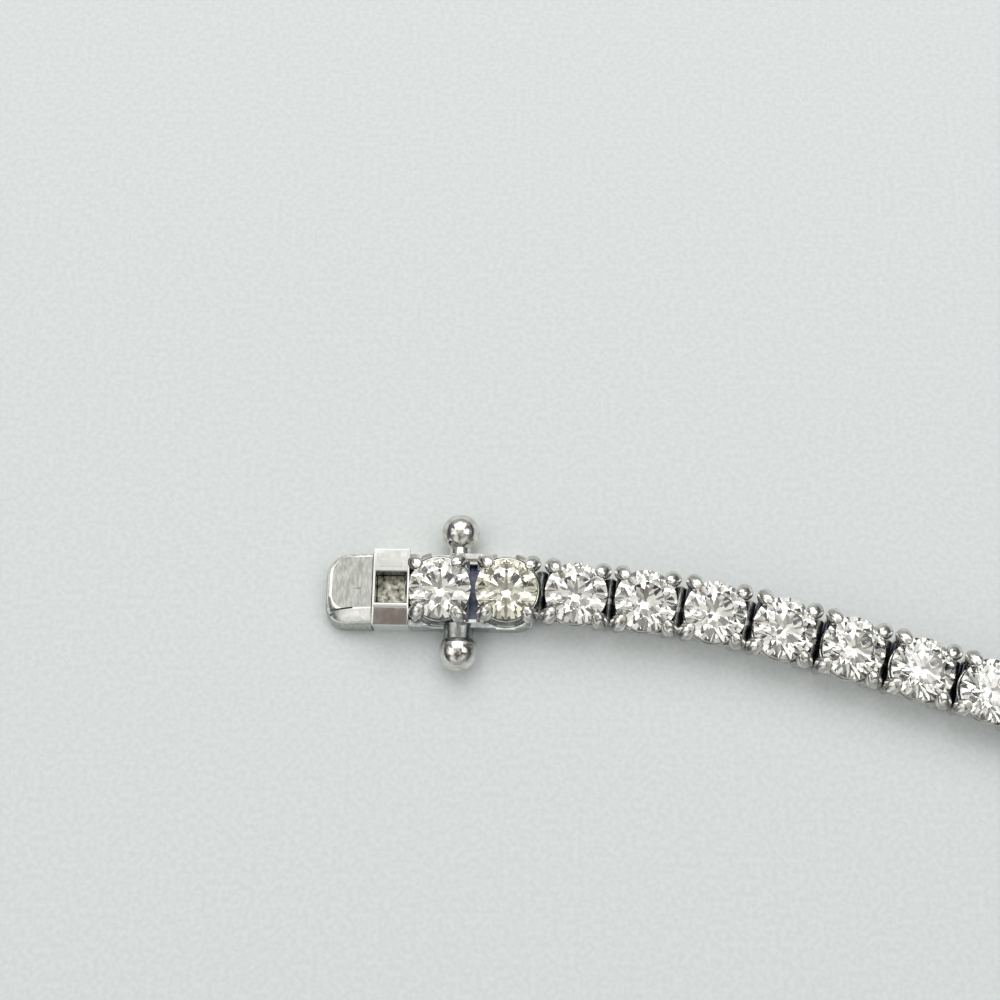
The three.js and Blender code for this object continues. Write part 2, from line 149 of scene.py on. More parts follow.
for name, azimuth, elevation, distance, width, height, radiance in SOFTBOXES:
    turn, rise = math.radians(azimuth), math.radians(elevation)
    lamp = bpy.data.lights.new(name, "AREA")
    lamp.shape = "RECTANGLE"
    lamp.size, lamp.size_y = width, height
    lamp.energy = radiance * math.pi * width * height
    softbox = bpy.data.objects.new(name, lamp)
    bpy.context.scene.collection.objects.link(softbox)
    towards = Vector(
        (math.cos(turn) * math.cos(rise), math.sin(turn) * math.cos(rise), math.sin(rise))
    )
    softbox.location = CLASP_PLACE + distance * towards
    softbox.rotation_euler = towards.to_track_quat("Z", "Y").to_euler()
    softbox.visible_camera = False

# A dark plum card hangs behind the camera, and shows in the polished flats that face it.
# It is 3 cm square, and the camera itself doesn't see it.
PLUM_SHADES = [(0.4, (0.31, 0.225, 0.215)), (0.6, (0.41, 0.33, 0.30))]
PLUM_PLACE = AIM + Vector((-0.010, -0.037, 0.136))
PLUM_SIZE = 0.030
PLUM_DRIFT = 60

plum, plum_shader, plum_tree = new_material("camera_card")
plum_tree.links.new(
    shades(plum_tree, noise(plum_tree, PLUM_DRIFT), PLUM_SHADES), plum_shader.inputs["Base Color"]
)
bpy.ops.object.select_all(action="DESELECT")
bpy.ops.mesh.primitive_plane_add(size=1, location=PLUM_PLACE)
dark_card = bpy.context.object
dark_card.name = "camera_card"
dark_card.scale = (PLUM_SIZE, PLUM_SIZE, 1)
dark_card.data.materials.append(plum)
dark_card.visible_camera = False

# The room round it all: pale in front and behind, dark to the sides, and broken up overhead.
# WALL_TOP says between which heights of a direction the walls give way to the ceiling.
OVERHEAD_SHADES = [
    (0.40, (0.10, 0.10, 0.11)),
    (0.50, (0.42, 0.42, 0.40)),
    (0.58, (0.95, 0.95, 0.92)),
]
WALL_SHADES = [(0.55, (0.44, 0.46, 0.455)), (0.8, (0.08, 0.085, 0.11))]
WALL_TOP = (0.32, 0.45)
OVERHEAD_PATCHES = 3.2

room = bpy.data.worlds.new("room")
room.use_nodes = True
room_tree = room.node_tree
directions = room_tree.nodes.new("ShaderNodeTexCoord")
patches = room_tree.nodes.new("ShaderNodeTexNoise")
patches.inputs["Scale"].default_value = OVERHEAD_PATCHES
patches.inputs["Detail"].default_value = 1.5
room_tree.links.new(directions.outputs["Generated"], patches.inputs["Vector"])
direction = room_tree.nodes.new("ShaderNodeSeparateXYZ")
room_tree.links.new(directions.outputs["Generated"], direction.inputs["Vector"])
sideways = room_tree.nodes.new("ShaderNodeMath")
sideways.operation = "ABSOLUTE"
room_tree.links.new(direction.outputs["X"], sideways.inputs[0])
overhead = room_tree.nodes.new("ShaderNodeMapRange")
overhead.inputs["From Min"].default_value, overhead.inputs["From Max"].default_value = WALL_TOP
room_tree.links.new(direction.outputs["Z"], overhead.inputs["Value"])
blend = room_tree.nodes.new("ShaderNodeMix")
blend.data_type = "RGBA"
# a mixer of colours takes its share and its two colours in these sockets
share, walls_colour, overhead_colour = (blend.inputs[socket] for socket in (0, 6, 7))
blended = blend.outputs[2]
room_tree.links.new(overhead.outputs["Result"], share)
room_tree.links.new(shades(room_tree, sideways.outputs["Value"], WALL_SHADES), walls_colour)
room_tree.links.new(shades(room_tree, patches.outputs["Fac"], OVERHEAD_SHADES), overhead_colour)
room_tree.links.new(blended, room_tree.nodes["Background"].inputs["Color"])
bpy.context.scene.world = room

# The stones: clear round brilliants of 3.5 mm, with polished facets and a frosted girdle.
# Each is ground from a round blank, a flat at a time, and sits in its basket under four beads.
# Sizes from here on are in millimetres about the stone's axis, and end in metres at its place.
MM = 0.001
# what lies nearer than a hair counts as being in the same place
HAIR = 0.01
WELD = 1e-5
STONE_RADIUS = 1.75
TABLE_RADIUS = 0.57 * STONE_RADIUS
CROWN_HEIGHT = 0.5425
HALF_GIRDLE = 0.035
PAVILION_DEPTH = 1.505
GIRDLE_HEIGHT = 2.205
STAR_TIP_RADIUS = 1.36
LOWER_HALF_TIP_RADIUS = 0.4
CULET_TRIM = 0.02
BLANK_SIDES = 96
BLANK_SPARE = 0.1
EIGHTH = 45
REFRACTION = 2.417
STONE_DRIFT = 700
FROST_GRAIN = 9000
UPRIGHT = 0.05


def at(radius, degrees, height):
    """A point about the stone's axis."""
    turn = math.radians(degrees)
    return Vector((radius * math.cos(turn), radius * math.sin(turn), height))


def grind(a, b, c):
    """Grinds a facet through three points, taking off all that lies outside it."""
    outwards = (b - a).cross(c - a).normalized()
    if outwards.dot(a) < 0:
        outwards.negate()
    bpy.ops.mesh.select_all(action="SELECT")
    bpy.ops.mesh.bisect(
        plane_co=a, plane_no=outwards, use_fill=True, clear_outer=True, threshold=WELD
    )


def ridge_height(radius, foot, slope):
    """The height over or under the girdle of the ridge between two main facets."""
    return foot + radius * math.cos(math.radians(EIGHTH / 2)) * slope


bpy.ops.object.select_all(action="DESELECT")
blank_bottom = -PAVILION_DEPTH - BLANK_SPARE
bpy.ops.mesh.primitive_cylinder_add(
    vertices=BLANK_SIDES,
    radius=STONE_RADIUS,
    depth=CROWN_HEIGHT - blank_bottom,
    location=(0, 0, (CROWN_HEIGHT + blank_bottom) / 2),
)
brilliant = bpy.context.object
brilliant.name = "brilliant"
bpy.ops.object.transform_apply(location=True, rotation=True, scale=True)
crown_slope = (CROWN_HEIGHT - HALF_GIRDLE) / (STONE_RADIUS - TABLE_RADIUS)
pavilion_slope = (PAVILION_DEPTH - HALF_GIRDLE) / STONE_RADIUS
crown_peak = HALF_GIRDLE + STONE_RADIUS * crown_slope
star_tip_height = ridge_height(STAR_TIP_RADIUS, crown_peak, -crown_slope)
lower_tip_height = ridge_height(LOWER_HALF_TIP_RADIUS, -PAVILION_DEPTH, pavilion_slope)
bpy.ops.object.mode_set(mode="EDIT")
for eighth in range(8):
    main = EIGHTH * eighth
    between = main + EIGHTH / 2
    tangent = at(1, main + 90, 0)
    table_corner = at(TABLE_RADIUS, main, CROWN_HEIGHT)
    girdle_top = at(STONE_RADIUS, main, HALF_GIRDLE)
    girdle_foot = at(STONE_RADIUS, main, -HALF_GIRDLE)
    culet = at(0, 0, -PAVILION_DEPTH)
    grind(table_corner, girdle_top, table_corner + tangent)
    grind(girdle_foot, culet, girdle_foot + tangent)
    star_tip = at(STAR_TIP_RADIUS, between, star_tip_height)
    lower_tip = at(LOWER_HALF_TIP_RADIUS, between, lower_tip_height)
    grind(table_corner, at(TABLE_RADIUS, main + EIGHTH, CROWN_HEIGHT), star_tip)
    for edge in (main, main + EIGHTH):
        for tip, girdle in ((star_tip, HALF_GIRDLE), (lower_tip, -HALF_GIRDLE)):
            grind(tip, at(STONE_RADIUS, edge, girdle), at(STONE_RADIUS, between, girdle))
grind(
    at(0, 0, CULET_TRIM - PAVILION_DEPTH),
    at(1, 0, CULET_TRIM - PAVILION_DEPTH),
    at(1, 90, CULET_TRIM - PAVILION_DEPTH),
)
bpy.ops.mesh.select_all(action="SELECT")
bpy.ops.mesh.normals_make_consistent(inside=False)
bpy.ops.object.mode_set(mode="OBJECT")
brilliant.data.transform(Matrix.Translation((0, 0, GIRDLE_HEIGHT)))


def stone_material(name, clear, tinted):
    """Polished stone whose colour drifts a little inside it."""
    material, shader, tree = new_material(name)
    shader.inputs["Transmission Weight"].default_value = 1
    shader.inputs["IOR"].default_value = REFRACTION
    shader.inputs["Roughness"].default_value = 0
    tree.links.new(
        shades(tree, noise(tree, STONE_DRIFT), [(0.35, clear), (0.65, tinted)]),
        shader.inputs["Base Color"],
    )
    return material


white_stone = stone_material("white_stone", (1.0, 0.99, 0.925), (0.98, 0.972, 0.90))
champagne_stone = stone_material("champagne_stone", (0.98, 0.96, 0.82), (0.95, 0.92, 0.70))
frosted_girdle, frosted_shader, frosted_tree = new_material("frosted_girdle")
frosted_shader.inputs["Transmission Weight"].default_value = 1
frosted_shader.inputs["IOR"].default_value = REFRACTION
frost = noise(frosted_tree, FROST_GRAIN)
frosted_tree.links.new(spread(frosted_tree, frost, 0.25, 0.45), frosted_shader.inputs["Roughness"])


def place_of(node):
    """Where a link stands and which way it points, from its solid's table and its eye's end."""
    corners = {tuple(round(n, 7) for n in v.co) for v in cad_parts[node].data.vertices}
    top = max(z for x, y, z in corners)
    table = [Vector(c) for c in corners if c[2] > top - HAIR * MM]
    middle = sum(table, Vector()) / len(table)
    reach = {c: (Vector(c) - middle).xy.length for c in corners}
    eye_end = [Vector(c) for c in corners if reach[c] > max(reach.values()) - HAIR * MM]
    ahead = sum(eye_end, Vector()) / len(eye_end) - middle
    turn = math.atan2(ahead.y, ahead.x)
    return Matrix.Translation((middle.x, middle.y, 0)) @ Matrix.Rotation(turn, 4, "Z")


def copied(pattern, name, place, slot, *nodes):
    """Copies a finished pattern to its place in metres, where it stands in for some nodes."""
    piece = pattern.copy()
    piece.data = pattern.data.copy()
    piece.name = name
    bpy.context.scene.collection.objects.link(piece)
    piece.data.transform(place @ Matrix.Scale(MM, 4))
    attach(piece, "root")
    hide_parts(*nodes)


def dressed(pattern, name, body):
    """A copy of the stone's pattern with its body's material and a frosted girdle."""
    stone = pattern.copy()
    stone.data = pattern.data.copy()
    stone.name = name
    stone.data.materials.append(body)
    stone.data.materials.append(frosted_girdle)
    for face in stone.data.polygons:
        face.material_index = int(abs(face.normal.z) < UPRIGHT)
    bpy.context.scene.collection.objects.link(stone)
    return stone


LINKS = sorted(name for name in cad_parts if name.startswith("link_"))
link_places = {name: place_of(name) for name in LINKS}
white_pattern = dressed(brilliant, "white_pattern", white_stone)
champagne_pattern = dressed(brilliant, "champagne_pattern", champagne_stone)
for name in LINKS:
    copied(white_pattern, name.replace("link", "stone"), link_places[name], "white_stone", name)

# The links: cast white gold baskets, a square base with four prongs whose beads hold the stone.
# The polish is bright outside; the end walls and the hinge barrels are painted blue-black and dark
# grey, as painted shade in the gaps between links.
# Each link's eye goes round the next one's cross pin.
BASE_HALF_LENGTH = 1.6
BASE_HALF_WIDTH = 1.5
BASE_BAR = 0.42
BASE_HEIGHT = 0.55
BASE_EDGE = 0.06
SEAT_RADIUS = 1.56
SEAT_WIRE = 0.13
SEAT_HEIGHT = 1.5
SEAT_STRETCH = 1.5
RAIL_RADIUS = 1.64
RAIL_WIRE = 0.07
RAIL_HEIGHT = 1.15
END_WALL_HEIGHT = 1.2
END_WALL_THICKNESS = 0.2
END_WALL_EDGE = 0.05
PIVOT = 1.9695
PIVOT_HEIGHT = 0.59
BARREL = {"half_length": 1.35, "radius": 0.34, "end_radius": 0.26, "edge": 0.08, "sides": 14}
EYE = {"half_length": 0.2, "radius": 0.37, "end_radius": 0.3, "edge": 0.06, "sides": 16}
ROUND_SIDES = 48
WIRE_SIDES = 8
PRONG_SIDES = 14
PRONG_PLACE = 1.45
EDGE_ANGLE = math.radians(35)
SMOOTH_ANGLE = math.radians(32)
POLISH_PATCHES = 2500
WEAR_DEPTH = 0.00004
LINK_METALS = [
    # name, pale and deep colours, roughness, wear, and the scales of the wear and of the blotches
    ("white_gold", (0.86, 0.86, 0.83), (0.78, 0.78, 0.74), (0.05, 0.16), 0.1, 2000, 1500),
    ("dented_gold", (0.88, 0.87, 0.83), (0.50, 0.48, 0.44), (0.06, 0.25), 1.0, 1900, 2100),
    ("painted_shade_grey_gold", (0.46, 0.475, 0.45), (0.13, 0.14, 0.135), (0.12, 0.3), 0.6, 2000, 1500),
    ("painted_shade_black_gold", (0.21, 0.225, 0.28), (0.07, 0.08, 0.12), (0.2, 0.45), 0.3, 2500, 1500),
]
# how far one soldered piece runs into the next
OVERLAP = 0.1
# how much of a direction has to lie along an axis for it to face that way
FACING = 0.9
PRONG_SECTIONS = [
    # how far the middle stands inside the bead's, height, radius
    (0.10, 0.0, 0.27),
    (0.07, 1.2, 0.27),
    (0.02, 1.8, 0.35),
    (0.0, 2.0, 0.44),
    (0.02, 2.2, 0.48),
    (0.10, 2.4, 0.40),
    (0.18, 2.54, 0.29),
    (0.23, 2.62, 0.15),
]


def drawn(name, sections, sides, turned=(0, 0, 0)):
    """A closed round body: a disc drawn out through sections, each a centre and a radius."""
    (centre, radius), *others = sections
    bpy.ops.object.select_all(action="DESELECT")
    bpy.ops.mesh.primitive_circle_add(
        vertices=sides, radius=radius, fill_type="NGON", location=centre, rotation=turned
    )
    piece = bpy.context.object
    piece.name = name
    bpy.ops.object.mode_set(mode="EDIT")
    bpy.ops.mesh.select_mode(type="FACE")
    bpy.ops.mesh.select_all(action="SELECT")
    for next_centre, next_radius in others:
        step = Vector(next_centre) - Vector(centre)
        bpy.ops.mesh.extrude_region_move(TRANSFORM_OT_translate={"value": step})
        bpy.ops.transform.resize(value=(next_radius / radius,) * 3, center_override=next_centre)
        centre, radius = next_centre, next_radius
    bpy.ops.mesh.select_all(action="SELECT")
    bpy.ops.mesh.normals_make_consistent(inside=False)
    bpy.ops.object.mode_set(mode="OBJECT")
    bpy.ops.object.transform_apply(location=True, rotation=True, scale=True)
    return piece


def slab(name, x, y, z):
    """A plain block between two ends along each axis, the start of a plate or a bar."""
    bpy.ops.object.select_all(action="DESELECT")
    middle = [(low + high) / 2 for low, high in (x, y, z)]
    bpy.ops.mesh.primitive_cube_add(size=1, location=middle)
    piece = bpy.context.object
    piece.name = name
    piece.scale = [high - low for low, high in (x, y, z)]
    bpy.ops.object.transform_apply(location=True, rotation=True, scale=True)
    return piece


def pick(piece, kind, wanted):
    """Enters edit mode with those corners, edges or faces selected that pass a test."""
    bpy.ops.object.select_all(action="DESELECT")
    piece.select_set(True)
    bpy.context.view_layer.objects.active = piece
    bpy.ops.object.mode_set(mode="EDIT")
    bpy.ops.mesh.select_mode(type=kind)
    bpy.ops.mesh.select_all(action="DESELECT")
    bpy.ops.object.mode_set(mode="OBJECT")
    mesh = piece.data
    for corner in mesh.vertices if kind == "VERT" else ():
        corner.select = wanted(corner.co, corner.normal)
    for edge in mesh.edges if kind == "EDGE" else ():
        start, end = (mesh.vertices[corner].co for corner in edge.vertices)
        edge.select = wanted((start + end) / 2, (end - start).normalized())
    for face in mesh.polygons if kind == "FACE" else ():
        face.select = wanted(face.center, face.normal)
    bpy.ops.object.mode_set(mode="EDIT")


def opened(piece, margin):
    """Cuts a room right through a block from top to bottom, with an even margin."""
    pick(piece, "FACE", lambda middle, normal: abs(normal.z) > FACING)
    bpy.ops.mesh.inset(thickness=margin, use_even_offset=True)
    bpy.ops.mesh.bridge_edge_loops()
    bpy.ops.object.mode_set(mode="OBJECT")
    return piece


def softened(piece, width, segments=2):
    """Rounds a piece's edges."""
    bpy.context.view_layer.objects.active = piece
    bevel = piece.modifiers.new("softened", "BEVEL")
    bevel.width = width
    bevel.segments = segments
    bevel.limit_method = "ANGLE"
    bevel.angle_limit = EDGE_ANGLE
    bpy.ops.object.modifier_apply(modifier=bevel.name)
    return piece


def ring(radius, wire, height, x=0.0, stretch=1.0):
    """A round wire bent to a level ring, higher than it is wide when stretched."""
    bpy.ops.object.select_all(action="DESELECT")
    bpy.ops.mesh.primitive_torus_add(
        major_radius=radius,
        minor_radius=wire,
        major_segments=ROUND_SIDES,
        minor_segments=WIRE_SIDES,
        location=(x, 0, height),
    )
    piece = bpy.context.object
    piece.scale.z = stretch
    bpy.ops.object.transform_apply(location=True, rotation=True, scale=True)
    return piece


def soldered(name, pieces):
    """Joins pieces into one, shaded smooth up to its edges."""
    bpy.ops.object.select_all(action="DESELECT")
    for piece in pieces:
        piece.select_set(True)
    whole = pieces[0]
    bpy.context.view_layer.objects.active = whole
    bpy.ops.object.join()
    whole.name = name
    bpy.ops.object.shade_smooth_by_angle(angle=SMOOTH_ANGLE)
    flats = whole.modifiers.new("flats", "WEIGHTED_NORMAL")
    flats.keep_sharp = True
    bpy.ops.object.modifier_apply(modifier=flats.name)
    return whole


def finished(material, *pieces):
    """Gives pieces their material."""
    for piece in pieces:
        piece.data.materials.clear()
        piece.data.materials.append(material)
    return list(pieces)


def metal_material(name, pale, deep, roughness, wear, wear_scale, blotch_scale):
    """White gold whose colour and polish vary a little, with dents and fine wear in its face."""
    material, shader, tree = new_material(name)
    shader.inputs["Metallic"].default_value = 1
    blotches = noise(tree, blotch_scale, 3.0)
    tree.links.new(
        shades(tree, blotches, [(0.3, deep), (0.7, pale)]), shader.inputs["Base Color"]
    )
    polish = noise(tree, POLISH_PATCHES, 4.0)
    tree.links.new(spread(tree, polish, *roughness), shader.inputs["Roughness"])
    relief(tree, shader, noise(tree, wear_scale, 4.0), wear, WEAR_DEPTH)
    return material


white_gold, dented_gold, painted_shade_grey, painted_shade_black = (metal_material(*metal) for metal in LINK_METALS)


def prong(x, y, lean_x, lean_y):
    """A prong whose bead stands at a place and whose shaft leans in from it."""
    sections = [
        ((x - lean_x * back, y - lean_y * back, up), radius) for back, up, radius in PRONG_SECTIONS
    ]
    return drawn("prong", sections, PRONG_SIDES)


def hinge_part(x, half_length, radius, end_radius, edge, sides):
    """A round part that lies across the hinge: an eye, or the barrel that holds the pin."""
    outline = [
        (-half_length, end_radius),
        (edge - half_length, radius),
        (half_length - edge, radius),
        (half_length, end_radius),
    ]
    sections = [((x, across, PIVOT_HEIGHT), round_here) for across, round_here in outline]
    return drawn("hinge_part", sections, sides, (math.pi / 2, 0, 0))


prongs = [
    prong(side_x * PRONG_PLACE, side_y * PRONG_PLACE, side_x, side_y)
    for side_x in (1, -1)
    for side_y in (1, -1)
]
base = slab(
    "base",
    (-BASE_HALF_LENGTH, BASE_HALF_LENGTH),
    (-BASE_HALF_WIDTH, BASE_HALF_WIDTH),
    (0, BASE_HEIGHT),
)
softened(opened(base, BASE_BAR), BASE_EDGE)
seat = ring(SEAT_RADIUS, SEAT_WIRE, SEAT_HEIGHT, stretch=SEAT_STRETCH)
rail = ring(RAIL_RADIUS, RAIL_WIRE, RAIL_HEIGHT)
# the end walls are plates painted blue-black: painted shade that fills the gap between links
end_walls = [
    softened(
        slab(
            "end_wall",
            sorted((side * BASE_HALF_LENGTH, side * (BASE_HALF_LENGTH - END_WALL_THICKNESS))),
            (-BASE_HALF_WIDTH + END_WALL_EDGE, BASE_HALF_WIDTH - END_WALL_EDGE),
            (BASE_HEIGHT - OVERLAP, END_WALL_HEIGHT),
        ),
        END_WALL_EDGE,
    )
    for side in (1, -1)
]
# the hinge barrel is painted dark grey: painted shade deep in the gap between links
basket = soldered(
    "basket_pattern",
    finished(white_gold, base)
    + finished(dented_gold, *prongs, seat, rail, hinge_part(PIVOT, **EYE))
    + finished(painted_shade_grey, hinge_part(-PIVOT, **BARREL))
    + finished(painted_shade_black, *end_walls),
)
for name in LINKS:
    copied(basket, name.replace("link", "basket"), link_places[name], "white_gold", name)

# The station: a stiff white gold length with a collar, side walls and two baskets soldered up.
# The collar has a square notch in its top, and a ball on a short neck stands out of each wall.
# Its second stone is faintly yellow, and the near wall and the near neck are painted darker:
# painted shade on the side away from the main light.
STONE_PITCH = 3.76
STATION_HALF_WIDTH = 2.13
WALL_FRONT = -2.0
WALL_HEIGHT = 1.7
WALL_THICKNESS = 0.3
WALL_EDGE = 0.05
FINE_EDGE = 0.04
TAIL_END = STONE_PITCH + 1.7
TAIL_CORNER = 1.1
DECK_END = TAIL_END - 0.2
DECK_FOOT = 0.9
DECK_TOP = 1.3
DECK_HALF_WIDTH = 1.95
WELL_RADIUS = 1.97
SCALLOP_RADIUS = 2.2
SCALLOP_FOOT = 1.22
SEAT_RINGS = [
    # radius, wire and height of the steps that the stone sits over
    (1.80, 0.05, 1.95),
    (1.97, 0.06, 1.45),
]
# a dark grey ring under each stone's girdle: painted shade in the gap between the stone and the
# seat
SHADE_RING = {"radius": 1.87, "wire": 0.14, "height": 1.45, "stretch": 2.0}
TOOL_TOP = 3
SLOT = (1.565, 2.195)
SLOT_HALF_LENGTH = 1.6
SLOT_WALL_HALF_LENGTH = 1.75
SLOT_WALL_HALF = 0.1
SLOT_WALL_RISE = (0.2, 1.35)
SLOT_FLOOR = (1.5, 2.3)
SLOT_FLOOR_RISE = (0.25, 0.5)
COLLAR_FRONT = -3.78
COLLAR_END = -1.70
COLLAR_HEIGHT = 2.3
COLLAR_BEVEL = 0.11
COLLAR_OUT_NEAR = 0.02
COLLAR_OUT_FAR = 0.1
RAIL_FOLD = -1.2
RAIL_DROP = 0.2
RAIL_PATCH = ((-3.42, -2.12), (1.15, 1.55))
RAIL_PATCH_FOOT = 2.2
RAIL_PATCH_EDGE = 0.008
FOOT_BEVEL = 0.25
NOTCH_HALF_WIDTH = 0.885
NOTCH_FLOOR = 1.17
NOTCH_ENDS = (COLLAR_FRONT + 0.18, COLLAR_END - 0.15)
NOTCH_SEAM = 0.03
NOTCH_PATINA = 0.06
BALL_RADIUS = 1.1
BALL_OUT = 3.43
BALL_ALONG = 1.09
BALL_HEIGHT = 1.12
BALL_END = 176
BALL_STEPS = 16
BALL_SIDES = 32
FAR_NECK_RADIUS = 0.6
NEAR_NECK_RADIUS = 0.85
NEAR_NECK_END = BALL_RADIUS * 0.45 - BALL_OUT
NECK_FOOT = [
    # how far out it stands, and how much wider it is than the neck
    (1.9, 0.1),
    (2.2, 0.03),
]
SATIN_GRAIN = 6000
SATIN_STRETCH = (1, 0.35, 1)
SATIN_DEPTH = 0.00002
SATIN_SHADES = [(0.35, (0.34, 0.345, 0.31)), (0.65, (0.55, 0.555, 0.51))]
STATION_METALS = [
    # as for the links
    ("wear_and_highlight_gold", (0.97, 0.97, 0.92), (0.80, 0.80, 0.74), (0.18, 0.34), 0.5, 1800, 1800),
    ("painted_reflection_gold", (0.56, 0.56, 0.535), (0.51, 0.51, 0.49), (0.3, 0.4), 0.1, 2000, 1500),
    ("painted_near_shade_gold", (0.60, 0.62, 0.61), (0.30, 0.32, 0.33), (0.15, 0.35), 0.5, 1900, 1500),
    ("pitted_gold", (0.72, 0.71, 0.58), (0.02, 0.02, 0.015), (0.3, 0.6), 0.8, 3000, 3200),
]
STATION_PRONGS = [
    # the stone's place along the station, and the bead's from the stone along and across
    (0, -1.45, 1.5),
    (0, 1.08, 1.62),
    (0, -1.28, -1.38),
    (0, 1.12, -1.5),
    (STONE_PITCH, -1.2, 1.62),
    (STONE_PITCH, 1.5, 1.5),
    (STONE_PITCH, -1.2, -1.38),
    (STONE_PITCH, 1.35, -1.48),
]


def stone_middle(node):
    """The middle of a loose stone, from its box."""
    low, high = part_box(node)
    return (low + high) / 2


first_middle = stone_middle("station_stone_1")
station_ahead = stone_middle("station_stone_2") - first_middle
station_place = Matrix.Translation((first_middle.x, first_middle.y, 0)) @ Matrix.Rotation(
    math.atan2(station_ahead.y, station_ahead.x), 4, "Z"
)
second_place = station_place @ Matrix.Translation((STONE_PITCH * MM, 0, 0))
copied(white_pattern, "first_stone", station_place, "white_stone", "station_stone_1")
copied(champagne_pattern, "second_stone", second_place, "champagne_stone", "station_stone_2")


def foot_rounded(piece):
    """Rounds a block's long bottom edges, where it meets the card."""
    pick(
        piece,
        "EDGE",
        lambda middle, along: middle.z < HAIR and abs(middle.y) > 2 and abs(along.x) > FACING,
    )
    bpy.ops.mesh.bevel(offset=FOOT_BEVEL, segments=3, affect="EDGES")
    bpy.ops.object.mode_set(mode="OBJECT")


def carved(body, tool):
    """Cuts a tool's shape out of a body and takes the tool away."""
    cut = body.modifiers.new("cut", "BOOLEAN")
    cut.object = tool
    cut.operation = "DIFFERENCE"
    bpy.ops.object.select_all(action="DESELECT")
    bpy.context.view_layer.objects.active = body
    bpy.ops.object.modifier_apply(modifier=cut.name)
    bpy.data.objects.remove(tool)
    return body


walls = slab(
    "walls",
    (WALL_FRONT, TAIL_END),
    (-STATION_HALF_WIDTH, STATION_HALF_WIDTH),
    (0, WALL_HEIGHT),
)
pick(walls, "EDGE", lambda middle, along: middle.x > TAIL_END - HAIR and abs(along.z) > FACING)
bpy.ops.mesh.bevel(offset=TAIL_CORNER, segments=8, affect="EDGES")
bpy.ops.object.mode_set(mode="OBJECT")
opened(walls, WALL_THICKNESS)
foot_rounded(walls)
for x in (0, STONE_PITCH):
    scallop = [((x, 0, SCALLOP_FOOT), SCALLOP_RADIUS), ((x, 0, TOOL_TOP), SCALLOP_RADIUS)]
    carved(walls, drawn("scallop", scallop, ROUND_SIDES))
softened(walls, WALL_EDGE, 3)

collar = slab(
    "collar",
    (COLLAR_FRONT, COLLAR_END),
    (-STATION_HALF_WIDTH - COLLAR_OUT_NEAR, STATION_HALF_WIDTH + COLLAR_OUT_FAR),
    (0, COLLAR_HEIGHT),
)
foot_rounded(collar)
bpy.ops.object.mode_set(mode="EDIT")
for place, across in (
    ((NOTCH_ENDS[0], 0, 0), (1, 0, 0)),
    ((NOTCH_ENDS[1], 0, 0), (1, 0, 0)),
    ((0, -NOTCH_HALF_WIDTH, 0), (0, 1, 0)),
    ((0, NOTCH_HALF_WIDTH, 0), (0, 1, 0)),
    ((0, RAIL_FOLD, 0), (0, 1, 0)),
):
    bpy.ops.mesh.select_all(action="SELECT")
    bpy.ops.mesh.bisect(plane_co=place, plane_no=across, threshold=WELD)
bpy.ops.object.mode_set(mode="OBJECT")
pick(
    collar,
    "FACE",
    lambda middle, normal: normal.z > FACING
    and NOTCH_ENDS[0] < middle.x < NOTCH_ENDS[1]
    and abs(middle.y) < NOTCH_HALF_WIDTH,
)
notch_drop = (0, 0, NOTCH_FLOOR - COLLAR_HEIGHT)
bpy.ops.mesh.extrude_region_move(TRANSFORM_OT_translate={"value": notch_drop})
bpy.ops.object.mode_set(mode="OBJECT")
pick(collar, "VERT", lambda corner, normal: corner.y < -STATION_HALF_WIDTH and corner.z > 2)
bpy.ops.transform.translate(value=(0, 0, -RAIL_DROP))
bpy.ops.object.mode_set(mode="OBJECT")
softened(collar, COLLAR_BEVEL, 3)
finished(white_gold, collar)
# the faces inside the notch are painted dark grey: painted shade in the recess
collar.data.materials.append(painted_shade_grey)
for face in collar.data.polygons:
    x, y, z = face.center
    inside = NOTCH_ENDS[0] - HAIR < x < NOTCH_ENDS[1] + HAIR and abs(y) < NOTCH_HALF_WIDTH + HAIR
    face.material_index = int(inside and z < COLLAR_HEIGHT - COLLAR_BEVEL)
# the rail patch is a thin, darker inset on the collar's top rail: a painted reflection in the
# polished rail
rail_patch = slab("rail_patch", *RAIL_PATCH, (RAIL_PATCH_FOOT, COLLAR_HEIGHT + HAIR))
softened(rail_patch, RAIL_PATCH_EDGE)
notch_floor = softened(
    slab(
        "notch_floor",
        (NOTCH_ENDS[0] + NOTCH_SEAM, NOTCH_ENDS[1] - NOTCH_SEAM),
        (-NOTCH_HALF_WIDTH + NOTCH_SEAM, NOTCH_HALF_WIDTH - NOTCH_SEAM),
        (NOTCH_FLOOR - OVERLAP, NOTCH_FLOOR + NOTCH_PATINA),
    ),
    NOTCH_SEAM,
)

satin_gold, satin_shader, satin_tree = new_material("satin_gold")
satin_shader.inputs["Metallic"].default_value = 1
brushing = noise(satin_tree, SATIN_GRAIN, 5.0, SATIN_STRETCH)
satin_tree.links.new(shades(satin_tree, brushing, SATIN_SHADES), satin_shader.inputs["Base Color"])
satin_tree.links.new(spread(satin_tree, brushing, 0.28, 0.42), satin_shader.inputs["Roughness"])
relief(satin_tree, satin_shader, brushing, 0.5, SATIN_DEPTH)

wear_and_highlight_gold, painted_reflection_gold, painted_near_shade_gold, pitted_gold = (
    metal_material(*metal) for metal in STATION_METALS
)


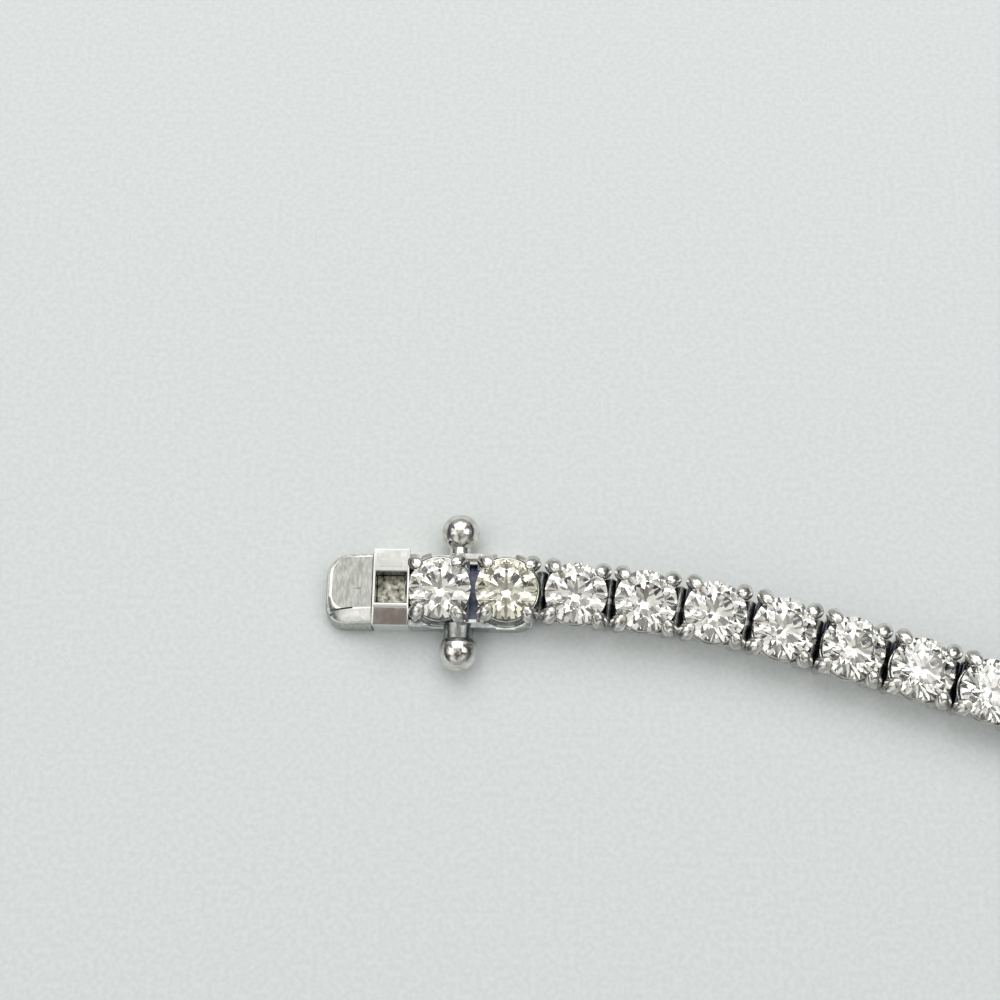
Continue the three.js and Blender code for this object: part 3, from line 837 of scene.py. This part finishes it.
def ball_and_neck(side, neck_radius):
    """One stud: a neck drawn out of the wall and swelling into a ball."""
    sections = [
        ((BALL_ALONG, side * out, BALL_HEIGHT), neck_radius + wider) for out, wider in NECK_FOOT
    ]
    start = math.degrees(math.asin(neck_radius / BALL_RADIUS))
    for step in range(BALL_STEPS + 1):
        angle = math.radians(start + (BALL_END - start) * step / BALL_STEPS)
        out = BALL_OUT - BALL_RADIUS * math.cos(angle)
        sections.append(((BALL_ALONG, side * out, BALL_HEIGHT), BALL_RADIUS * math.sin(angle)))
    return drawn("stud", sections, BALL_SIDES, (math.pi / 2, 0, 0))


def slotted(piece):
    """Clears the slot between the two baskets out of a piece."""
    return carved(piece, slab("slot", SLOT, (-SLOT_HALF_LENGTH, SLOT_HALF_LENGTH), (0, TOOL_TOP)))


deck = slab(
    "deck",
    (COLLAR_END - OVERLAP, DECK_END),
    (-DECK_HALF_WIDTH, DECK_HALF_WIDTH),
    (DECK_FOOT, DECK_TOP),
)
for x in (0, STONE_PITCH):
    well = [((x, 0, 0), WELL_RADIUS), ((x, 0, TOOL_TOP), WELL_RADIUS)]
    carved(deck, drawn("well", well, ROUND_SIDES))
softened(slotted(deck), FINE_EDGE)
seat_rings = [
    slotted(ring(radius, wire, height, x))
    for x in (0, STONE_PITCH)
    for radius, wire, height in SEAT_RINGS
]
shade_rings = [slotted(ring(x=x, **SHADE_RING)) for x in (0, STONE_PITCH)]
station_prongs = [
    prong(stone + along, across, math.copysign(1, along), math.copysign(1, across))
    for stone, along, across in STATION_PRONGS
]
# the slot's walls and floor are painted blue-black: painted shade in the opening between the
# baskets
slot_reach = (-SLOT_WALL_HALF_LENGTH, SLOT_WALL_HALF_LENGTH)
slot_walls = [
    slab("slot_wall", (x - SLOT_WALL_HALF, x + SLOT_WALL_HALF), slot_reach, SLOT_WALL_RISE)
    for x in SLOT
]
for slot_wall in slot_walls:
    softened(slot_wall, FINE_EDGE)
slot_floor = slab("slot_floor", SLOT_FLOOR, slot_reach, SLOT_FLOOR_RISE)
station_eye = hinge_part(STONE_PITCH + PIVOT, **EYE)
finished(white_gold, walls)
walls.data.materials.append(painted_near_shade_gold)
walls.data.materials.append(wear_and_highlight_gold)
# the near wall is painted darker, as painted shade on the side away from the main light, and the
# far wall's faces that look towards the near side get the paler, rougher gold
for face in walls.data.polygons:
    near, towards_near = face.center.y < 0, face.normal.y < -0.3
    face.material_index = 1 if near else 2 if towards_near else 0
far_stud = ball_and_neck(1, FAR_NECK_RADIUS)
near_stud = ball_and_neck(-1, NEAR_NECK_RADIUS)
studs = finished(dented_gold, far_stud, near_stud)
# the near neck and the part of its ball next to the wall are painted dark grey: painted shade
near_stud.data.materials.append(painted_shade_grey)
for face in near_stud.data.polygons:
    face.material_index = int(face.center.y > NEAR_NECK_END)
station = soldered(
    "station_pattern",
    [collar, walls]
    + studs
    + finished(white_gold, deck)
    + finished(painted_reflection_gold, rail_patch)
    + finished(dented_gold, *station_prongs, station_eye)
    # the seat rings take the paler gold so that they read bright: partly a painted highlight
    + finished(wear_and_highlight_gold, *seat_rings)
    + finished(pitted_gold, notch_floor)
    + finished(painted_shade_grey, *shade_rings)
    + finished(painted_shade_black, *slot_walls, slot_floor),
)
copied(station, "station", station_place, "white_gold", "clasp_station")

# The tongue: a white gold strip folded back over itself at the nose, satin on top, with bright
# edges rolled down and a slit where it was nicked. Its lower leaf runs on into the collar.
TONGUE_FRONT = COLLAR_FRONT - 2.77
TONGUE_BACK = COLLAR_FRONT - 0.01
TONGUE_HALF_WIDTH = 2.14
TONGUE_FOOT = 0.15
TONGUE_SHOULDER = 0.35
TONGUE_SLOPE = math.radians(11.4)
FAR_CORNER = 1.35
NEAR_CORNER = 1.2
LEAF_ENDS = (TONGUE_FRONT + 0.6, COLLAR_FRONT + 1)
LEAF_HALF_WIDTH = 1.4
LEAF_FOOT = TONGUE_FOOT + 0.05
LEAF_TOP = 0.75
LEAF_EDGE = 0.05
TONGUE_ROLL = [
    # how far the edge has drawn in on the near side, the far side and at the nose, and its rise
    (0.10, 0.00, 0.00, 0.28),
    (0.24, 0.02, 0.02, 0.50),
    (0.34, 0.04, 0.04, 0.60),
    (0.60, 0.08, 0.10, 0.78),
    (0.88, 0.16, 0.22, 0.96),
    (0.98, 0.25, 0.40, 1.02),
    (1.06, 0.32, 0.60, 1.05),
]
TONGUE_MARKS = [
    # from, to, width and depth: the slit, the nick at its end and a faint scratch
    ((-6.22, -1.2), (-4.9, -1.08), 0.09, 0.5),
    ((-6.24, -1.44), (-6.12, -1.38), 0.1, 0.8),
    ((-5.3, 0.0), (-4.45, 0.02), 0.05, 0.02),
]

tongue = slab(
    "tongue",
    (TONGUE_FRONT, TONGUE_BACK),
    (-TONGUE_HALF_WIDTH, TONGUE_HALF_WIDTH),
    (TONGUE_FOOT, TONGUE_SHOULDER),
)
for side, radius in ((1, FAR_CORNER), (-1, NEAR_CORNER)):
    pick(
        tongue,
        "EDGE",
        lambda middle, along: middle.x < TONGUE_FRONT + HAIR
        and abs(along.z) > FACING
        and abs(middle.y - side * TONGUE_HALF_WIDTH) < HAIR,
    )
    bpy.ops.mesh.bevel(offset=radius, segments=8, affect="EDGES")
    bpy.ops.object.mode_set(mode="OBJECT")
pick(tongue, "FACE", lambda middle, normal: normal.z > FACING)
bpy.ops.transform.rotate(
    value=TONGUE_SLOPE, orient_axis="Y", center_override=(TONGUE_FRONT, 0, TONGUE_SHOULDER)
)
length, width = TONGUE_BACK - TONGUE_FRONT, 2 * TONGUE_HALF_WIDTH
near_edge = -TONGUE_HALF_WIDTH
rise = 0.0
for near_inset, far_inset, nose_inset, next_rise in TONGUE_ROLL:
    next_length = TONGUE_BACK - TONGUE_FRONT - nose_inset
    next_near = near_inset - TONGUE_HALF_WIDTH
    next_far = TONGUE_HALF_WIDTH - far_inset
    next_width = next_far - next_near
    # the line that keeps its place while the two sides draw in unevenly
    still = (near_edge * next_width - next_near * width) / (next_width - width)
    bpy.ops.mesh.extrude_region_move(TRANSFORM_OT_translate={"value": (0, 0, next_rise - rise)})
    bpy.ops.transform.resize(
        value=(next_length / length, next_width / width, 1), center_override=(TONGUE_BACK, still, 0)
    )
    length, width, near_edge, rise = next_length, next_width, next_near, next_rise
bpy.ops.object.mode_set(mode="OBJECT")
softened(tongue, FINE_EDGE)
for (x, y), (end_x, end_y), gouge_width, depth in TONGUE_MARKS:
    gouge_length = math.hypot(end_x - x, end_y - y)
    gouge = slab("gouge", (0, gouge_length), (-gouge_width / 2, gouge_width / 2), (-depth, 1))
    along = math.atan2(end_y - y, end_x - x)
    top = TONGUE_SHOULDER + rise + (x - TONGUE_FRONT) * math.tan(TONGUE_SLOPE)
    gouge.data.transform(Matrix.Translation((x, y, top)) @ Matrix.Rotation(along, 4, "Z"))
    carved(tongue, gouge)
lower_leaf = slab(
    "lower_leaf",
    LEAF_ENDS,
    (-LEAF_HALF_WIDTH, LEAF_HALF_WIDTH),
    (LEAF_FOOT, LEAF_TOP),
)
softened(lower_leaf, LEAF_EDGE)
tongue = soldered("tongue_pattern", finished(satin_gold, tongue, lower_leaf))
tongue.data.materials.append(wear_and_highlight_gold)
# the rolled edges take a paler, rougher gold where they still look up: partly real wear, partly a
# painted highlight
for face in tongue.data.polygons:
    x, y, z = face.normal
    rolled_near, rolled_over = y < -0.06, y > 0.1 or x < -0.3
    face.material_index = int(z > 0.6 if rolled_near else rolled_over and z > 0.35)
copied(tongue, "tongue_spring", station_place, "satin_white_gold", "tongue")

# The box: the clasp's other half, a plain white gold box with an open mouth for the tongue.
# It is hinged to the last link as the links are to each other.
BOX_BACK = -1.3
BOX_MOUTH = 2.18
BOX_HALF_WIDTH = 2.55
BOX_WALL = 0.4
BOX_ROOM = 2.88
BOX_CORNER = 0.6
BOX_EDGE = 0.12
BOX_TURN = math.radians(-7.3)

box = slab("box", (BOX_BACK, BOX_MOUTH), (-BOX_HALF_WIDTH, BOX_HALF_WIDTH), (0, COLLAR_HEIGHT))
pick(box, "EDGE", lambda middle, along: middle.x < BOX_BACK + HAIR and abs(along.z) > FACING)
bpy.ops.mesh.bevel(offset=BOX_CORNER, segments=6, affect="EDGES")
bpy.ops.object.mode_set(mode="OBJECT")
pick(box, "FACE", lambda middle, normal: normal.x > FACING)
bpy.ops.mesh.inset(thickness=BOX_WALL, use_even_offset=True)
bpy.ops.mesh.extrude_region_move(TRANSFORM_OT_translate={"value": (-BOX_ROOM, 0, 0)})
bpy.ops.object.mode_set(mode="OBJECT")
softened(box, BOX_EDGE, 3)
half_pitch = Matrix.Translation((PIVOT * MM, 0, 0))
box_place = link_places[LINKS[-1]] @ half_pitch @ Matrix.Rotation(BOX_TURN, 4, "Z") @ half_pitch
# the box's hinge barrel is painted dark grey: painted shade in the hinge gap
box_barrel = finished(painted_shade_grey, hinge_part(-PIVOT, **BARREL))
box = soldered("box_pattern", finished(white_gold, box) + box_barrel)
copied(box, "box", box_place, "white_gold", "box_catch")

for pattern in (brilliant, white_pattern, champagne_pattern, basket, station, tongue, box):
    bpy.data.objects.remove(pattern)
